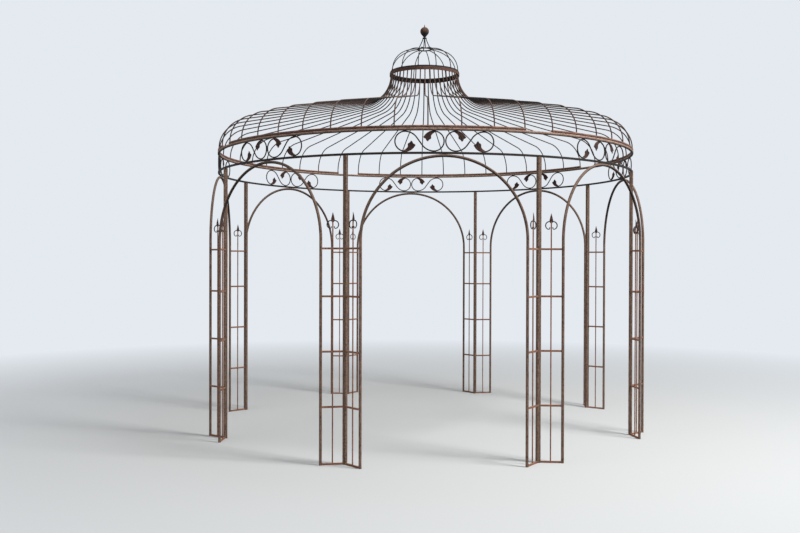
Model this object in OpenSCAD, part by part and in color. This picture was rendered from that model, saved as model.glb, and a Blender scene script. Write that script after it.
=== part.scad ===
// Round iron garden pavilion: eight arches, eight open piers, a scrolled frieze between two rings,
// and a rodded roof that sweeps up through a neck to a small ribbed dome and a ball finial.
// Bay 1 faces -Y, and the bays are numbered counter-clockwise seen from above. Millimetres.

/* [Ring] */
// Radius of the circle through the eight posts
ring_r = 1850; // [1500:10:2200]
// Height of the middle of the lower ring
lower_ring_z = 2250; // [2000:10:2500]
// Bar of the lower ring, square
lower_bar = 16; // [12:1:24]
// Bar of the upper ring, square
upper_bar = 20; // [14:1:28]
// Clear height of the frieze between the two rings
frieze_h = 152; // [130:1:170]

/* [Arches] */
// Half the width of an arch, to the middle of its tube
arch_half = 599; // [520:1:640]
// Diameter of the arch tube
arch_d = 22; // [16:1:30]

/* [Piers] */
// Width of the square post
post_w = 30; // [24:1:40]
// Height of a rung, which is a flat bar on edge
rung_h = 14; // [10:1:20]
// Thickness of a rung
rung_t = 12; // [11:1:16]
// Diameter of the rod that runs up the middle of a side
stem_d = 10; // [6:1:10]
// Height of the first rung above the one at the ground
rung_low_z = 421; // [380:1:480]
// Height of the second rung
rung_2_z = 822; // [780:1:880]
// Height of the third rung
rung_3_z = 1222; // [1180:1:1300]
// Height of the top rung
rung_top_z = 1568; // [1500:1:1600]
// Height above the top rung of the middle of the two curls
curl_rise = 173; // [160:1:180]
// Distance from the rod to the middle of a curl
curl_out = 13; // [12:1:18]
// Radius in which a curl leaves the rod and comes down beside it
curl_r = 29; // [26:1:34]
// Radius of the rolled end of a curl
curl_end_r = 9; // [8:1:10]
// Diameter of the curls
curl_d = 8; // [5:1:9]
// Height above the top rung of the foot of the spear leaf
spear_rise = 188; // [175:1:200]
// Height of the tip of the spear leaf
spear_top_z = 1831; // [1800:1:1870]
// Half the width of the spear leaf
spear_half = 14; // [10:1:22]
// Thickness of the spear leaf
spear_t = 5; // [3:1:7]

/* [Frieze] */
// Diameter of the scroll bar
scroll_d = 10; // [7:1:12]
// Length of one scroll, end to end
scroll_len = 361; // [330:1:380]
// Slope of the straight stretch in the middle of a scroll, in degrees
scroll_slope = 54; // [45:1:55]
// Width of a leaf
leaf_w = 46; // [34:1:50]
// How far a leaf reaches round the circle of its scroll, in degrees
leaf_turn = 68; // [50:1:75]
// Thickness of a leaf
leaf_t = 5; // [3:1:7]
// Radius in which the stalk runs on into the leaf
stalk_r = 52; // [46:1:60]
// Diameter of the stalk
stalk_d = 7; // [5:0.5:9]

/* [Roof] */
// Rods in the roof of one bay
rods_per_bay = 6; // [4:1:7]
// Diameter of a roof rod
rod_d = 10; // [8:1:14]
// Height and width of the curved bar that the rods of a bay stand on
eave_bar = 18; // [14:1:24]
// Height above that bar at which a rod stands upright
rod_foot_h = 6; // [0:1:20]
// Radius of the shoulder, where the rods turn in
shoulder_r = 232; // [160:1:300]
// Slope of the roof between shoulder and neck, in degrees
roof_slope = 10.9; // [6:0.1:14]
// Radius of the neck, where the rods turn up
neck_r = 290; // [220:5:360]

/* [Dome] */
// Radius of the collar at the top of the neck, to the middle of the rods
collar_rod_r = 308; // [260:1:360]
// Height of the collar band
collar_h = 26; // [18:1:30]
// Thickness of the collar band
collar_t = 6; // [4:1:10]
// Height of the rods above the middle of the collar
rod_rise = 17; // [16:1:40]
// Bar of the ring that the dome stands on
dome_bar = 12; // [8:1:18]
// Ribs of the dome
dome_ribs = 12; // [8:1:16]
// Diameter of a dome rib
rib_d = 8; // [6:1:10]
// Height of the dome from its ring to its top
dome_h = 206; // [200:1:260]
// Radius of the ribs' steep lower part
rib_low_r = 190; // [150:1:195]
// Radius of the small ring at the top of the dome
crown_r = 57; // [45:1:65]
// Bar of that small ring
crown_bar = 10; // [10:1:14]

/* [Finial] */
// Rods of the flared stem
stem_rods = 4; // [3:1:6]
// How far the stem's rods are turned from the middle of the bays, in degrees
stem_turn = 5; // [0:1:45]
// Diameter of the stem rods
stem_rod_d = 8; // [5:1:9]
// Height of the flared stem
stem_h = 95; // [80:1:120]
// How far the stem's rods lean out where they leave the hub, in degrees
stem_lean = 18; // [10:1:20]
// Radius of the hub that the stem rods meet under
hub_r = 12; // [10:1:16]
// Thickness of the hub
hub_t = 9; // [6:1:14]
// Diameter of the knob on the top of each stem rod
knob_d = 15; // [12:1:17]
// Height of the tapered neck between hub and ball
cup_h = 15; // [8:1:30]
// Radius of the foot of that neck
cup_r = 9; // [7:1:10]
// Diameter of the ball
ball_d = 80; // [60:1:100]
// Height of the point above the ball
spike_h = 24; // [10:1:40]
// Radius of the foot of that point
spike_r = 6; // [4:1:8]

/* [Hidden] */
$fn = 64;
bays = 8;
bay_deg = 360 / bays;
// clearance where one piece rests on or against another
seat = 0.3;
// gap between the two scrolls of a bay
scroll_gap = 2;
// how far one bar runs into another that it is welded to
sink = 1;
// how far the weld between two stretches of a bent bar stands proud of it
weld_proud = 0.1;

// heights, each from the one below
lower_ring_under = lower_ring_z - lower_bar / 2;
frieze_base = lower_ring_z + lower_bar / 2;
frieze_mid = frieze_base + frieze_h / 2;
upper_ring_z = frieze_base + frieze_h + upper_bar / 2;
eave_z = upper_ring_z + upper_bar / 2 + seat;
spring_z = lower_ring_under - seat - arch_d / 2 - arch_half;
shoulder_z = eave_z + eave_bar + rod_foot_h;

// place of an arch leg as seen from the nearest post
leg_r = norm([ring_r, arch_half]);
leg_deg = bay_deg / 2 - atan(arch_half / ring_r);
wing = [leg_r * sin(leg_deg), leg_r * cos(leg_deg) - ring_r];
wing_len = norm(wing);
wing_deg = atan2(wing.y, wing.x);
wing_start = post_w / 2;
wing_end = wing_len - arch_d / 2 - seat;
stem_x = (wing_start + wing_end) / 2;

// the roof rod's line from eave to collar, as radius and height
slope_cos = cos(roof_slope);
slope_sin = sin(roof_slope);
shoulder_c = [ring_r - shoulder_r, shoulder_z];
shoulder_end = shoulder_c + shoulder_r * [slope_sin, slope_cos];
neck_start_r = collar_rod_r + neck_r * (1 - slope_sin);
neck_start = [neck_start_r, shoulder_end.y + (shoulder_end.x - neck_start_r) * tan(roof_slope)];
collar_z = neck_start.y + neck_r * slope_cos;
neck_c = [collar_rod_r + neck_r, collar_z];
// angles from the middle of the eave bar to the shoulder, and from the collar to the rod's top
foot_deg = asin((shoulder_z - eave_z - eave_bar / 2) / shoulder_r);
rise_deg = asin(rod_rise / neck_r);
rod_top_z = collar_z + (neck_r + rod_d / 2) * sin(rise_deg);
// how far a rod has swung out at the edges of the collar band
collar_lean = neck_r - sqrt(neck_r * neck_r - collar_h * collar_h / 4);
collar_r = collar_rod_r + rod_d / 2 + collar_lean + seat + collar_t / 2;

// a dome rib's two arcs, which share a tangent where they meet
dome_ring_z = rod_top_z + seat + dome_bar / 2;
dome_base_z = dome_ring_z + dome_bar / 2 + seat;
crown_z = dome_base_z + dome_h;
rib_low_x = collar_rod_r - crown_r - rib_low_r;
rib_top_r = (rib_low_x * rib_low_x + dome_h * dome_h - rib_low_r * rib_low_r) / 2 / (dome_h - rib_low_r);
rib_low_c = [crown_r + rib_low_x, dome_base_z];
rib_top_c = [crown_r, crown_z - rib_top_r];
rib_turn = atan2(rib_low_c.y - rib_top_c.y, rib_low_x);

// the flared stem's arc, which leans more and more from the hub to the small ring
stem_base_z = crown_z + crown_bar / 2 + seat;
hub_z = stem_base_z + stem_h;
stem_top_r = hub_r + sink;
stem_flare = 2 * atan((crown_r - stem_top_r) / stem_h) - stem_lean;
stem_arc_r = stem_h / (sin(stem_flare) - sin(stem_lean));
stem_arc_c = [stem_top_r, hub_z] + stem_arc_r * [cos(stem_lean), sin(stem_lean)];
ball_z = hub_z + hub_t + cup_h + ball_d / 2;

// point of the circle about c at angle a
function at(c, r, a) = c + r * [cos(a), sin(a)];

// Round bars, drawn flat: a straight one, a bent one, and the weld between two stretches.
// The stretches end a hair short of each other, inside the weld.
module bar(p, q, d)
    translate([p.x, p.y, 0]) rotate([0, 0, atan2(q.y - p.y, q.x - p.x)]) rotate([0, 90, 0])
        translate([0, 0, weld_proud]) cylinder(d = d, h = norm(q - p) - 2 * weld_proud);

module bend(c, r, from, to, d) {
    short = weld_proud / r * 180 / PI;
    translate([c.x, c.y, 0]) rotate([0, 0, from + short])
        rotate_extrude(angle = to - from - 2 * short) translate([r, 0]) circle(d = d);
}

// the weld stands at angle a on the circle about c, its poles hidden in the bar
module weld(c, r, a, d)
    translate([c.x, c.y, 0]) rotate([0, 0, a]) translate([r, 0, 0]) rotate([90, 0, 0])
        sphere(d = d + 2 * weld_proud);

// turns a child drawn as radius and height into the vertical plane at angle a from -Y
module upright(a) rotate([0, 0, a]) rotate([90, 0, -90]) children();

// places a child drawn for the bay or the post at -Y
module bay(k) rotate([0, 0, bay_deg * (k - 1)]) children();
module post_place(k) rotate([0, 0, bay_deg * (k - 0.5)]) children();

// a ring of rectangular bar about the middle of the pavilion
module square_ring(r, z, h, w)
    translate([0, 0, z]) rotate_extrude() translate([r, 0]) square([w, h], center = true);

module arch(k) {
    color("saddlebrown") bay(k) translate([0, -ring_r, 0]) {
        for (s = [-1, 1]) translate([s * arch_half, 0, 0]) cylinder(d = arch_d, h = spring_z);
        translate([0, 0, spring_z]) rotate([90, 0, 0])
            rotate_extrude(angle = 180) translate([arch_half, 0]) circle(d = arch_d);
    }
}

// one curl, which leaves the rod's line upwards, comes down beside it on the +X side and rolls in
module curl() {
    // angles at which the curl meets the line of the rod, at which it tightens, and at which it ends
    start = acos(-curl_out / curl_r);
    turn = -70;
    finish = -200;
    bend([curl_out, 0], curl_r, turn, start, curl_d);
    weld([curl_out, 0], curl_r, turn, curl_d);
    bend(at([curl_out, 0], curl_r - curl_end_r, turn), curl_end_r, finish, turn, curl_d);
}

// the spear leaf, its foot at the origin: half its outline as shares of its width and height
module spear() {
    half = [[0.25, 0], [0.7, 0.08], [1, 0.3], [0.55, 0.65], [0, 1]];
    spear_h = spear_top_z - rung_top_z - spear_rise;
    linear_extrude(spear_t, center = true)
        for (s = [-1, 1]) polygon(concat([[0, 0]], [for (p = half) [s * p.x * spear_half, p.y * spear_h]]));
}

// one flat side of a pier, drawn along +X from the middle of the post, standing on z = 0
module pier_side() {
    for (z = [rung_h / 2, rung_low_z, rung_2_z, rung_3_z, rung_top_z])
        translate([wing_start - sink, -rung_t / 2, z - rung_h / 2])
            cube([wing_end - wing_start + sink, rung_t, rung_h]);
    // the rod ends as high as the curls
    stem_top_z = rung_top_z + curl_rise + curl_r + curl_d / 2;
    translate([stem_x, 0, rung_h / 2]) cylinder(d = stem_d, h = stem_top_z - rung_h / 2);
    translate([stem_x, 0, rung_top_z]) rotate([90, 0, 0]) {
        translate([0, curl_rise, 0]) for (s = [0, 1]) mirror([s, 0, 0]) curl();
        translate([0, spear_rise, 0]) spear();
    }
}

module pier(k) {
    color("sienna") post_place(k) translate([0, -ring_r, 0]) {
        translate([-post_w / 2, -post_w / 2, 0]) cube([post_w, post_w, lower_ring_under - seat]);
        for (s = [0, 1]) mirror([s, 0, 0]) rotate([0, 0, -wing_deg]) pier_side();
    }
}

// half the height of a scroll, its circles' radius and the middle of its right circle
scroll_half = frieze_h / 2 - seat;
scroll_r = scroll_half - scroll_d / 2;
scroll_x = scroll_len / 2 - scroll_half;
// angle of the circle's end in its leaf
scroll_end = 275;
// from the top of a circle a wider bend, the waist, leads into the straight stretch
waist_r = (scroll_x * sin(scroll_slope) - scroll_r * cos(scroll_slope)) / (1 - cos(scroll_slope));
waist_c = [-scroll_x, scroll_r - waist_r];
waist_deg = 90 - scroll_slope;

// point of a leaf, as a depth from its outer edge and a distance round the circle, both as shares
leaf_r = scroll_half - sink;
function leaf_point(depth, t) = at([-scroll_x, 0], leaf_r - leaf_w * depth, 270 + leaf_turn * t);

// half a scroll in its own plane, X along the ring and Y up: a circle that ends at its foot in a
// leaf with two tips and a lobe, which the stalk runs into
module half_scroll() {
    // chords along the leaf's outer edge, how far round they reach, and the other edges from there
    // by the outer tip, the upper tip and the lobe to the foot
    chords = 8;
    round = 0.84;
    edge = [
        [-0.12, 1.04], [0.08, 1.1], [0.26, 1.1], [0.5, 1.33], [0.61, 1.37], [0.73, 1.32],
        [0.8, 1.14], [0.94, 1], [1.01, 0.78], [0.93, 0.6], [0.58, 0.42], [0.4, 0.2], [0.3, 0]
    ];
    bend([-scroll_x, 0], scroll_r, 90, scroll_end, scroll_d);
    weld([-scroll_x, 0], scroll_r, 90, scroll_d);
    bend(waist_c, waist_r, waist_deg, 90, scroll_d);
    weld(waist_c, waist_r, waist_deg, scroll_d);
    linear_extrude(leaf_t, center = true) polygon(concat(
        [for (i = [0 : chords]) leaf_point(0, round * i / chords)],
        [for (p = edge) leaf_point(p.x, p.y)]
    ));
    bend([-scroll_x, stalk_r - scroll_r], stalk_r, 270, 350, stalk_d);
}

module scroll() {
    left = at(waist_c, waist_r, waist_deg);
    for (s = [0, 180]) rotate(s) half_scroll();
    bar(left, -left, scroll_d);
}

module frieze(k) {
    side_deg = (scroll_len + scroll_gap) / 2 / ring_r * 180 / PI;
    // a flat scroll lies half outside and half inside the curve of the rings
    sag = scroll_len * scroll_len / 16 / ring_r;
    color("sienna") bay(k) for (s = [0, 1]) mirror([s, 0, 0])
        rotate([0, 0, -side_deg]) translate([0, sag - ring_r, frieze_mid]) rotate([90, 0, 0]) scroll();
}

// one rod of the roof, as radius and height
module roof_rod() {
    bend(shoulder_c, shoulder_r, -foot_deg, 90 - roof_slope, rod_d);
    weld(shoulder_c, shoulder_r, 90 - roof_slope, rod_d);
    bar(shoulder_end, neck_start, rod_d);
    weld(neck_c, neck_r, 270 - roof_slope, rod_d);
    bend(neck_c, neck_r, 180 - rise_deg, 270 - roof_slope, rod_d);
}

// The roof is four pieces of two bays each: the eave bars of bays 8 and 1, 2 and 3, 4 and 5, and 6 and 7
// meet between their bays, and at its other end a bar stops flush with the last rod.
module roof_panel(k) {
    step = bay_deg / rods_per_bay;
    flush_deg = (bay_deg - step + rod_d / ring_r * 180 / PI) / 2;
    joint_deg = (bay_deg - seat / ring_r * 180 / PI) / 2;
    odd = k % 2 == 1;
    color("sienna") bay(k) {
        rotate([0, 0, -90 - (odd ? joint_deg : flush_deg)]) translate([0, 0, eave_z])
            rotate_extrude(angle = joint_deg + flush_deg)
                translate([ring_r - eave_bar / 2, 0]) square(eave_bar);
        for (i = [1 : rods_per_bay]) upright((i - (rods_per_bay + 1) / 2) * step) roof_rod();
    }
}

module lower_ring() color("saddlebrown") square_ring(ring_r, lower_ring_z, lower_bar, lower_bar);

module upper_ring() color("saddlebrown") square_ring(ring_r, upper_ring_z, upper_bar, upper_bar);

module collar_band() color("saddlebrown") square_ring(collar_r, collar_z, collar_h, collar_t);

module dome_ring() color("saddlebrown") square_ring(collar_rod_r, dome_ring_z, dome_bar, dome_bar);

module dome_cage() {
    color("sienna") {
        for (i = [0 : dome_ribs - 1]) upright((i + 0.5) * 360 / dome_ribs) {
            bend(rib_low_c, rib_low_r, 0, rib_turn, rib_d);
            weld(rib_low_c, rib_low_r, rib_turn, rib_d);
            bend(rib_top_c, rib_top_r, rib_turn, 90, rib_d);
        }
        square_ring(crown_r, crown_z, crown_bar, crown_bar);
    }
}

// four rods that meet in knobs round a hub, their feet cut flat to stand on the small ring
module finial_stem() {
    past_cut = stem_rod_d / stem_arc_r * 180 / PI;
    color("saddlebrown") {
        for (i = [0 : stem_rods - 1]) upright(stem_turn + i * 360 / stem_rods) {
            intersection() {
                bend(stem_arc_c, stem_arc_r, 180 + stem_lean, 180 + stem_flare + past_cut, stem_rod_d);
                translate([0, stem_base_z, -stem_rod_d]) cube([crown_r * 2, stem_h, stem_rod_d * 2]);
            }
            translate([stem_top_r, hub_z + hub_t - knob_d / 2, 0]) sphere(d = knob_d);
        }
        translate([0, 0, hub_z]) cylinder(r = hub_r, h = hub_t);
    }
}

// the ball, with a cone under it that runs down from its sides to a narrow foot
module finial_ball() {
    cup_deg = 40;
    cup_top = ball_d / 2 * [cos(cup_deg), -sin(cup_deg)];
    cup_foot_z = seat - ball_d / 2 - cup_h;
    color("peru") translate([0, 0, ball_z]) rotate_extrude() {
        difference() {
            circle(d = ball_d);
            translate([-ball_d, -ball_d]) square([ball_d, ball_d * 2]);
        }
        polygon([[0, cup_foot_z], [cup_r, cup_foot_z], cup_top, [0, cup_top.y]]);
        polygon([[0, 0], [spike_r, ball_d / 2 - sink], [0, ball_d / 2 + spike_h]]);
    }
}

for (k = [1 : bays]) {
    arch(k);
    pier(k);
    frieze(k);
    roof_panel(k);
}
lower_ring();
upper_ring();
collar_band();
dome_ring();
dome_cage();
finial_stem();
finial_ball();
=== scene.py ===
# %% [markdown]
# A round garden pavilion of rusted iron
#
# The real pavilion is a kit of welded iron: eight arches of bent tube, eight V-shaped piers of post
# and bar, two rings with scrolls between them, and a roof of thin rods that sweeps up through a neck
# to a small ribbed dome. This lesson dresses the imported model. Each piece is worked out as a
# surface with numpy, takes its place from the frame, and gets a rust finish made of shader nodes.
# The first step loads the frame and keeps its box, because nothing may grow out of it.

import bpy
import numpy as np
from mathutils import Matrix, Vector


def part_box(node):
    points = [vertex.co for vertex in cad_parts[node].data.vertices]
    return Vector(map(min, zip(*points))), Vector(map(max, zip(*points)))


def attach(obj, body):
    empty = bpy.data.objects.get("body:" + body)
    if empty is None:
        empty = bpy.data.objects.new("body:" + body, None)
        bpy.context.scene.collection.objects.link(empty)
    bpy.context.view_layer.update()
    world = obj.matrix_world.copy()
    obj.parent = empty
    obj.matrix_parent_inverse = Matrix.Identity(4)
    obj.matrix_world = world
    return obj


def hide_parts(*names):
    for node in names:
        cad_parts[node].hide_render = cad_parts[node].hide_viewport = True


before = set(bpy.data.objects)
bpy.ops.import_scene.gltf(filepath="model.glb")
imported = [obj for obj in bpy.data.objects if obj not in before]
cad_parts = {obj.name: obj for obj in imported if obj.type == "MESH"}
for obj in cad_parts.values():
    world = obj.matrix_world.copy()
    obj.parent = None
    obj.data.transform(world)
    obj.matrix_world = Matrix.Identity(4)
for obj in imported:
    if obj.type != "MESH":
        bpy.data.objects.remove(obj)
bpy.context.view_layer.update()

# %% [markdown]
# Sizes
#
# A bar's place could be typed in a second time, and it would then drift from the model. Here the
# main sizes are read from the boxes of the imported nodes, in metres, and the lines of the bars are
# worked out from them. Angles go counter-clockwise from the middle of bay 1, which faces -Y.

# %% Sizes of the rings, the arches and the collar
TAU = 2 * np.pi
BAYS = 8
BAY = TAU / BAYS
# the gap at which one piece rests on another
SEAT = 0.0003


def box_of(node):
    """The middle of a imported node's box, and its size."""
    low, high = (np.array(corner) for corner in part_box(node))
    return (low + high) / 2, high - low


middle, size = box_of("lower_ring")
LOWER_Z, LOWER_BAR = middle[2], size[2]
RING_R = (size[0] - LOWER_BAR) / 2
middle, size = box_of("upper_ring")
UPPER_Z, UPPER_BAR = middle[2], size[2]
middle, size = box_of("arch_1")
ARCH_D = size[1]
ARCH_HALF = (size[0] - ARCH_D) / 2
SPRING_Z = size[2] - ARCH_D / 2 - ARCH_HALF
middle, size = box_of("collar_band")
COLLAR_Z, COLLAR_H, COLLAR_OUT = middle[2], size[2], size[0] / 2
middle, size = box_of("dome_ring")
DOME_RING_Z, DOME_BAR = middle[2], size[2]
COLLAR_R = (size[0] - DOME_BAR) / 2
print("ring radius", round(RING_R, 4), "spring", round(SPRING_Z, 4), "collar radius", round(COLLAR_R, 4))

# %% [markdown]
# Lines
#
# Every bar follows a line that lies in a plane: an arch stands in the plane of its bay, a roof rod
# in an upright plane through the axis, and a ring lies level. So a line is drawn in two numbers
# first, as arcs and straight stretches, and is then turned into its plane.

# %% Arcs and straight stretches
def at(centre, radius, angle):
    """The point of a circle at an angle in degrees."""
    return np.array(centre) + radius * np.array([np.cos(np.radians(angle)), np.sin(np.radians(angle))])


def arc(centre, radius, start, end, step=0.012):
    """Points of the circle about centre from angle start to angle end, in degrees, step apart."""
    count = max(4, int(abs(np.radians(end - start)) * radius / step) + 2)
    angle = np.radians(np.linspace(start, end, count))
    return np.array(centre) + radius * np.column_stack([np.cos(angle), np.sin(angle)])


def straight(start, end, step=0.06):
    """Points along the straight line from start to end, step apart."""
    start, end = np.array(start, float), np.array(end, float)
    count = max(2, int(np.linalg.norm(end - start) / step) + 1)
    return start + (end - start) * np.linspace(0, 1, count)[:, None]


def chain(*stretches):
    """Stretches one after another. Each starts where the last one ends, and that point is kept once."""
    return np.concatenate([stretches[0], *(stretch[1:] for stretch in stretches[1:])])


print("a half circle as wide as an arch takes", len(arc([0, 0], ARCH_HALF, 180, 0)), "points")

# %% Planes that a line is turned into
UP = np.array([0.0, 0.0, 1.0])


def directions(angle):
    """The outward and the sideways direction at that angle round the pavilion, in radians."""
    out = np.array([np.sin(angle), -np.cos(angle), 0])
    return out, np.array([np.cos(angle), np.sin(angle), 0])


def upright(points, angle):
    """Points given as radius and height, turned into the upright plane through the axis."""
    out, sideways = directions(angle)
    return points[:, :1] * out + points[:, 1:] * UP, sideways


def on_level(points, z):
    """Points given as two places on the ground, lifted to that height."""
    return np.column_stack([points, np.full(len(points), z)])


def on_wall(points, origin, along):
    """Points given as length and height, on the upright wall through origin that runs along."""
    return origin + points[:, :1] * along + points[:, 1:] * UP, np.cross(along, UP)


print("bay 2 faces", np.round(directions(BAY)[0], 3).tolist())

# %% [markdown]
# Bars
#
# A bar could be a curve with a bevel, but then its ends, its corners and its rust can't be steered.
# As a surface of two parameters, the station along the line and the place round the outline, it is
# one grid of points. Two things are stored at each point for the finish: where it is in the bar's
# own frame, so that streaks follow the bar round every bend, and a value for wear and painted shade:
# 1 on rubbed edges, 0, and down to -1 where shade is painted on lower and inner sides and where the
# leaves darken towards their tips. Old bars aren't quite even, so a scale swells them by a little.
# All random draws come from one seeded generator, so each run gives the same pavilion.

# %% Outlines of a bar
# painted shade on a lower side, as a wear and shade value below nought
LOWER_SIDE_SHADE = -0.8


def round_outline(diameter, sides):
    """A circle of that diameter, with no edge that could wear."""
    angle = np.arange(sides) * TAU / sides
    return diameter / 2 * np.column_stack([np.cos(angle), np.sin(angle)]), np.zeros(sides)


def square_outline(width, depth, corner):
    """A rectangle with rounded corners. Each corner is a quarter circle of three points, with one
    point more on the flat at either side, so that the flats shade flat. The corners are worn."""
    quarter = np.radians([0, 45, 90])
    bend = np.column_stack([np.cos(quarter), np.sin(quarter)])
    bend = corner * np.vstack([bend[0] - [0, 0.8], bend, bend[-1] - [0.8, 0]])
    sides = []
    for turn, (x, y) in enumerate([(1, 1), (-1, 1), (-1, -1), (1, -1)]):
        cos, sin = np.cos(turn * TAU / 4), np.sin(turn * TAU / 4)
        inner = [x * (width / 2 - corner), y * (depth / 2 - corner)]
        sides.append(inner + bend @ np.array([[cos, sin], [-sin, cos]]))
    return np.concatenate(sides), np.tile([0, 0.7, 1, 0.7, 0], 4)


def shaded_below(outline):
    """The same outline, with painted shade on its lower side. Its second number points upwards."""
    shape, wear_and_shade = outline
    return shape, np.where(shape[:, 1] < 0, LOWER_SIDE_SHADE, wear_and_shade)


# radius of the corners of the square tubes
TUBE_CORNER = 0.003
print("a square outline has", len(square_outline(UPPER_BAR, UPPER_BAR, TUBE_CORNER)[0]), "places")

# %% The surface of a bar
def sweep(line, side, outline, scale=1.0, ring=False):
    """Each point of the surface is the point of the line at its station, plus the outline's first
    number times the direction across the line, plus its second number times the side direction,
    both times the scale at that station. Side is square to the plane that the line lies in."""
    ahead = np.roll(line, -1, 0) - np.roll(line, 1, 0) if ring else np.gradient(line, axis=0)
    ahead = ahead / np.linalg.norm(ahead, axis=1)[:, None]
    across = np.cross(side, ahead)
    scale = np.broadcast_to(scale, len(line))[:, None, None]
    return line[:, None] + scale * (outline[None, :, :1] * across[:, None] + outline[None, :, 1:] * side)


def lengths(line):
    """How far along the line each of its points is."""
    return np.concatenate([[0], np.cumsum(np.linalg.norm(np.diff(line, axis=0), axis=1))])


rng = np.random.default_rng(11)


def swelling(line, share, waves=9):
    """A scale that wanders about one by that share, as a sum of slow waves along the line."""
    along = lengths(line)[:, None]
    pace, phase = rng.uniform(6, 60, waves), rng.uniform(0, TAU, waves)
    return 1 - share + share * np.sin(along * pace + phase).mean(1)


print("the round of the lower ring is", round(TAU * RING_R, 3), "m long")

# %% [markdown]
# Gathering a piece
#
# A pier has dozens of bars and welds. With an object for each, the file would be slow to open and
# hard to pick from. So the grids of a piece are gathered as arrays first, and one mesh is made of
# them, with a material for each kind of bar.

# %% Gather grids and make one mesh
# edges that turn by more than this are drawn sharp
SHARP = np.radians(50)


def elsewhere():
    """A random step in space, so that the pattern on each bar differs."""
    return rng.uniform(-40, 40, 3)


class Ironwork:
    """Gathers the grids of one piece as arrays."""

    def __init__(self):
        self.points, self.flow, self.wear_and_shade = [], [], []
        self.quads, self.fans, self.quad_finish, self.fan_finish = [], [], [], []
        self.count = 0

    def keep(self, points, flow, wear_and_shade):
        """Notes the points of a grid, with their flow and their wear and shade value."""
        self.points.append(points)
        self.flow.append(flow)
        self.wear_and_shade.append(wear_and_shade)
        self.count += len(points)

    def grid(self, grid, flow, wear_and_shade, finish=0, ring=False):
        """Adds a grid whose places run round a closed outline. Unless its stations run round a
        ring, a fan about the middle of the outline closes each end."""
        rows, columns = grid.shape[:2]
        index = self.count + np.arange(rows * columns).reshape(rows, columns)
        self.keep(grid.reshape(-1, 3), flow.reshape(-1, 3), np.broadcast_to(wear_and_shade, grid.shape[:2]).ravel())
        ahead = np.roll(index, -1, 0)
        corners = [index, np.roll(index, -1, 1), np.roll(ahead, -1, 1), ahead]
        used = slice(None) if ring else slice(-1)
        quads = np.stack([corner[used] for corner in corners], -1).reshape(-1, 4)
        self.quads.append(quads)
        self.quad_finish.append(np.full(len(quads), finish))
        if not ring:
            self.fan(index[0][::-1], grid[0], flow[0], finish)
            self.fan(index[-1], grid[-1], flow[-1], finish)

    def fan(self, loop, points, flow, finish):
        """Closes a loop of points with triangles about its middle."""
        self.fans.append(np.column_stack([np.full(len(loop), self.count), loop, np.roll(loop, -1)]))
        self.fan_finish.append(np.full(len(loop), finish))
        self.keep(points.mean(0)[None], flow.mean(0)[None], np.zeros(1))

    def bar(self, line, side, outline, finish=0, scale=1.0, ring=False):
        """Adds a bar of that outline along the line."""
        shape, wear_and_shade = outline
        grid = sweep(line, side, shape, scale, ring)
        flow = np.empty_like(grid)
        flow[..., :2] = shape
        flow[..., 2] = lengths(line)[:, None]
        self.grid(grid, flow + elsewhere(), wear_and_shade, finish, ring)

    def bead(self, centre, axis, side, radius, reach, finish=0):
        """Adds a weld bead: a lumpy ball of that radius, drawn out to that reach along the axis."""
        polar = np.radians([12, 45, 80, 115, 150, 172])
        line = centre - np.cos(polar)[:, None] * reach * axis
        lumps = np.sin(polar) * rng.uniform(0.85, 1.1, len(polar))
        shape, _ = round_outline(2 * radius, 8)
        grid = sweep(line, side, shape, lumps)
        self.grid(grid, grid + elsewhere(), 0.5, finish)

    def make(self, name, slot, materials, *nodes):
        """Makes the mesh, with its attributes and materials, in place of the CAD nodes."""
        quads, fans = np.concatenate(self.quads), np.concatenate(self.fans or [np.empty((0, 3), int)])
        corners = np.concatenate([quads.ravel(), fans.ravel()])
        starts = np.concatenate([np.arange(len(quads)) * 4, quads.size + np.arange(len(fans)) * 3])
        mesh = bpy.data.meshes.new(name)
        mesh.vertices.add(self.count)
        mesh.vertices.foreach_set("co", np.concatenate(self.points).ravel())
        mesh.loops.add(len(corners))
        mesh.loops.foreach_set("vertex_index", corners)
        mesh.polygons.add(len(starts))
        mesh.polygons.foreach_set("loop_start", starts)
        mesh.polygons.foreach_set("material_index", np.concatenate(self.quad_finish + self.fan_finish))
        mesh.polygons.foreach_set("use_smooth", np.ones(len(starts), bool))
        mesh.update(calc_edges=True)
        mesh.set_sharp_from_angle(angle=SHARP)
        flow = mesh.attributes.new("flow", "FLOAT_VECTOR", "POINT")
        flow.data.foreach_set("vector", np.concatenate(self.flow).ravel())
        # wear above nought, painted shade below nought
        wear_and_shade = mesh.attributes.new("wear_and_shade", "FLOAT", "POINT")
        wear_and_shade.data.foreach_set("value", np.concatenate(self.wear_and_shade))
        for material in materials:
            mesh.materials.append(material)
        piece = bpy.data.objects.new(name, mesh)
        bpy.context.scene.collection.objects.link(piece)
        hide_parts(*nodes)
        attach(piece, "root")
        return piece


print("an edge is sharp from", round(np.degrees(SHARP)), "degrees")

# %% [markdown]
# Rust
#
# The iron has no paint left. Seen close, it is a dark brown skin with a fine grain, patches of
# orange rust where water stays, streaks along the bars, and edges rubbed smooth. One colour would
# look like plastic. A picture could carry all that, but it would show its seams on bent bars. So a
# node group works it out from places: broad patches and grain from the object's own place, streaks
# from the bar's flow. Every iron finish uses the group with its own colours.

# %% Helpers for shader nodes
def srgb(red, green, blue):
    """A colour as it looks on a screen, 0 to 255, turned into the linear one that shaders use."""
    shown = np.array([red, green, blue]) / 255
    linear = np.where(shown <= 0.04045, shown / 12.92, ((shown + 0.055) / 1.055) ** 2.4)
    return [*linear.tolist(), 1.0]


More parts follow.
